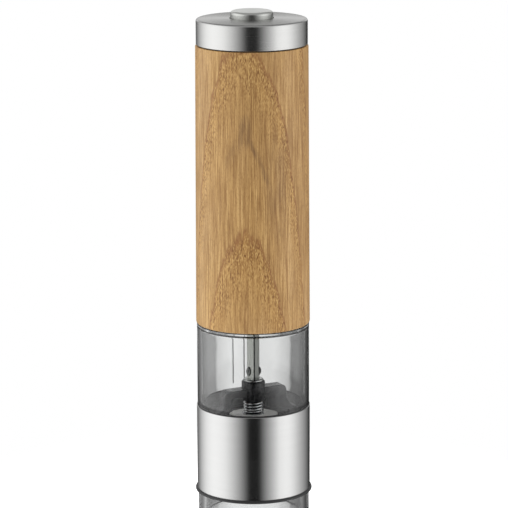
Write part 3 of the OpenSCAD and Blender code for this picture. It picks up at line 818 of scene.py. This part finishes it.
# ---- Battery holder and cells ----
# A dark moulded holder with four open bays. The cells have plain coloured shrink wraps over steel cans,
# and stand between nickel-plated strips and tapered contact springs.
cell_wrap, wrap_surface = new_finish("cell_wrap", Coat_Weight=0.5)
wrap_point, _, _, wrap_z = place_on(wrap_surface)
wrap_band = wrap_z.step(156.0, 156.4)
wrap_wear = noise(wrap_point, 0.8, detail=4.0)
wrap_colour = wrap_band.mix((0.1, 0.1, 0.105, 1), (0.36, 0.26, 0.1, 1))
drive(wrap_surface, Base_Color=wrap_colour.tint(wrap_wear.ramp((0.3, 0.85), (0.7, 1.1))))
drive(wrap_surface, Roughness=wrap_wear.ramp((0.3, 0.3), (0.7, 0.45)))
drive(wrap_surface, Normal=bump(wrap_wear, 0.2, 0.03))
paint(grey_plastic, "battery_holder")
paint(cell_wrap, "batteries")
paint(spring_steel, "battery_springs", "contact_strips")


# ---- Switch ----
# A small push switch on top of the holder, under the button's stem: a black moulded base, and a white
# plunger that the stem pushes down to close the motor's circuit.
paint(black_plastic, "switch_base")
paint(white_plastic, "switch_actuator")


# ---- Wooden sleeve ----
# Turned from one piece of flat-sawn hardwood with coarse pores, oiled. The rings arch up the front,
# because the tree's pith lay well behind it and leaned back.
_, wood_low, wood_high = size_of("wood_sleeve")
wood_foot_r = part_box("wood_sleeve")[1].x / MM
wood_top_r = wood_foot_r - 0.5
wood_bore = 20.4
socket_r = 22
socket_top = wood_low + 9.6
wood_shell = turned("wood_shell", [
    (socket_r, wood_low), (wood_foot_r, wood_low), (wood_top_r, wood_high), (wood_bore, wood_high),
    (wood_bore, socket_top), (socket_r, socket_top), (socket_r, wood_low)])
soften(wood_shell, 0.8, [(wood_foot_r, wood_low)], 4)
soften(wood_shell, 0.4, [(wood_top_r, wood_high)], 3)
smooth(wood_shell)

pith_foot = 37.4
pith_lean = 0.0824
pith_turn = math.radians(8)
ring_gap = 7.21
ring_start = 0.101
oiled_wood, wood_surface = new_finish("oiled_wood", Specular_IOR_Level=0.45)
_, wx, wy, wz = place_on(wood_surface)
round_at = wx.math("ARCTAN2", wx, 0 - wy) * (180 / math.pi)
sway = noise(joined(wx * 0.05, wy * 0.05, wz * 0.012), detail=2.0) - 0.5
ripple = noise(joined(wx * 0.5, wy * 0.5, wz * 0.07), detail=4.0, roughness=0.65) - 0.5
pith = pith_foot - wz * pith_lean
aside = wx - pith * math.sin(pith_turn)
inward = wy - pith * math.cos(pith_turn)
from_pith = (aside * aside + inward * inward) ** 0.5 + sway * 1.6 + ripple * 1.4
ring = from_pith / ring_gap - ring_start
ring = ring.math("FRACT", ring)
early = 1 - ring.step(0.0, 0.45)
boundary = (1 - ring.step(0.0, 0.07)) + ring.step(0.975, 1.0)
# fine straight grain, a coarser stripe, and slow changes of tone
fibre = noise(joined(wx * 2.3, wy * 2.3, wz * 0.065), detail=3.0, roughness=0.75)
stripe = noise(joined(wx * 1.25, wy * 1.25, wz * 0.02), detail=3.0, roughness=0.6)
patch = noise(joined(wx * 0.07, wy * 0.07, wz * 0.02), detail=2.0)
grain = stripe.ramp((0.34, (0.385, 0.213, 0.075)), (0.5, (0.455, 0.263, 0.095)), (0.66, (0.53, 0.325, 0.132)))
grain = (patch.step(0.42, 0.68) * 0.4).mix(grain, (0.47, 0.29, 0.14, 1))
grain = (early * 0.6).mix(grain, (0.42, 0.22, 0.06, 1))
tone = noise(joined(wx * 0.14, wy * 0.14, wz * 0.035), detail=3.0)
grain = grain.tint(tone.ramp((0.32, (0.9, 0.87, 0.8)), (0.68, (1.08, 1.09, 1.08))))
middle = (1 - round_at.math("ABSOLUTE", round_at).step(5, 32)) * wz.step(120, 200)
grain = (middle * 0.35).mix(grain, (0.34, 0.193, 0.066, 1))
# painted sheen: the sleeve's left side is painted lighter and whiter than the rest
grain = (1 - round_at.step(-50, -6)).mix(grain.tint((1.0, 1.03, 1.02, 1)), grain.tint((1.07, 1.13, 1.13, 1)))
wood_colour = grain.tint(fibre.ramp((0.36, (0.66, 0.55, 0.42)), (0.62, (1.22, 1.23, 1.26))))
# open pores, crowded just inside each ring's start, and the thin reddish line that they start from
pore_field = noise(joined(wx * 2.8, wy * 2.8, wz * 0.75), detail=1.0, roughness=0.4)
pore_spread = noise(joined(wx * 0.3, wy * 0.3, wz * 0.08), detail=2.0)
pores = pore_field.step(0.55, 0.64) * (early * pore_spread.step(0.35, 0.6) + 0.26)
fleck = pore_field.step(0.46, 0.36) * early * 0.7
wood_colour = fleck.mix(wood_colour, (0.64, 0.41, 0.15, 1))
wood_colour = (pores * 0.95).mix(wood_colour, (0.2, 0.085, 0.02, 1))
wood_colour = (boundary * fibre.step(0.36, 0.56) * 0.75).mix(wood_colour, (0.25, 0.1, 0.03, 1))
# a mineral stain a quarter of the way down the front, with a leg running down from it on either side
stain_turn = 5
drop = 176 - wz
wander = sway * 8 + ripple * 12
below_knot = 1 - wz.step(172, 183)
right_leg = round_at + stain_turn - drop * 0.9 + wander
right_leg = (1 - right_leg.math("ABSOLUTE", right_leg).step(0.5, 4.0)) * below_knot * wz.step(143, 156)
left_leg = round_at + stain_turn + drop * 1.2 + wander
left_leg = (1 - left_leg.math("ABSOLUTE", left_leg).step(0.5, 9.0)) * below_knot * wz.step(156, 168)
knot_x = (round_at + stain_turn + wander) / 8
knot_z = (wz - 175) / 9
knot = 1 - (knot_x * knot_x + knot_z * knot_z).step(0.05, 1.0)
cloud_x = (round_at - 26) / 17
cloud_z = (wz - 152) / 30
cloud = (1 - (cloud_x * cloud_x + cloud_z * cloud_z).step(0.1, 1.1)) * 0.4
stain = knot.math("MAXIMUM", knot, right_leg * 0.95)
stain = stain.math("MAXIMUM", stain, left_leg * 0.6)
stain = stain.math("MAXIMUM", stain, cloud)
blotch = noise(joined(wx * 0.5, wy * 0.5, wz * 0.07), detail=3.0).step(0.36, 0.6) * 0.7 + 0.3
stain = stain * blotch * fibre.ramp((0.36, 1.0), (0.64, 0.4))
wood_colour = stain.mix(wood_colour, (0.17, 0.085, 0.033, 1))
drive(wood_surface, Base_Color=wood_colour)
drive(wood_surface, Roughness=fibre.ramp((0.3, 0.55), (0.7, 0.42)))
drive(wood_surface, Normal=bump(fibre * 0.35 - pores, 0.35, 0.08))
fit_out(wood_shell, oiled_wood, "wood", "sleeve", "wood_sleeve")
paint(black_plastic, "liner_tube")


# ---- Top cap ----
# A pressed steel cap with a softly rounded rim and a slightly domed top, brushed round its centre, over
# a black plastic liner that carries the button.
cap_r, cap_low, cap_high = size_of("top_cap")
button_r, button_low, button_high = size_of("button")
cap_hole = button_r + 0.3
cap_rim = cap_high - 0.4
cap_wall = 1
cap_steel = brushed_finish("cap_steel", (0.65, 0.65, 0.64), 0.26, rim=cap_rim)
cap_shell = turned("cap_shell", [
    (cap_r - cap_wall, cap_low), (cap_r, cap_low), (cap_r, cap_rim), (cap_r - 3, cap_rim + 0.14),
    (17, cap_high - 0.1), (cap_hole, cap_high), (cap_hole, cap_high - cap_wall),
    (cap_r - 1.6, cap_rim - cap_wall), (cap_r - cap_wall, cap_rim - 1.6), (cap_r - cap_wall, cap_low)])
soften(cap_shell, 0.9, [(cap_r, cap_rim)], 6)
soften(cap_shell, 0.25, [(cap_r, cap_low), (cap_hole, cap_high)], 3)
smooth(cap_shell)
fit_out(cap_shell, cap_steel, "brushed_steel", "sleeve", "top_cap")
paint(black_plastic, "cap_liner")


# ---- Push button ----
# A drawn steel cup with a flat top and a well rounded edge, three millimetres proud of the cap, on a
# plastic stem with a return spring inside it.
button_bore = button_r - 1.2
button_roof = button_high - 1.4
button_disc = turned("button_disc", [
    (button_bore, button_roof), (button_bore, button_low), (button_r, button_low), (button_r, button_high),
    (5, button_high)])
soften(button_disc, 1.35, [(button_r, button_high)], 8)
smooth(button_disc)
button_steel = brushed_finish("button_steel", (0.6, 0.61, 0.585), 0.3, 0.3)
fit_out(button_disc, button_steel, "brushed_steel", "button", "button")
return_low, return_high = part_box("button_spring")
return_coil = coil("return_coil", 6.4, 0.35, return_low.z / MM, return_high.z / MM, 5.5)
fit_out(return_coil, spring_steel, "spring_steel", "sleeve", "button_spring")
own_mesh(return_coil)
paint(grey_plastic, "button_stem")
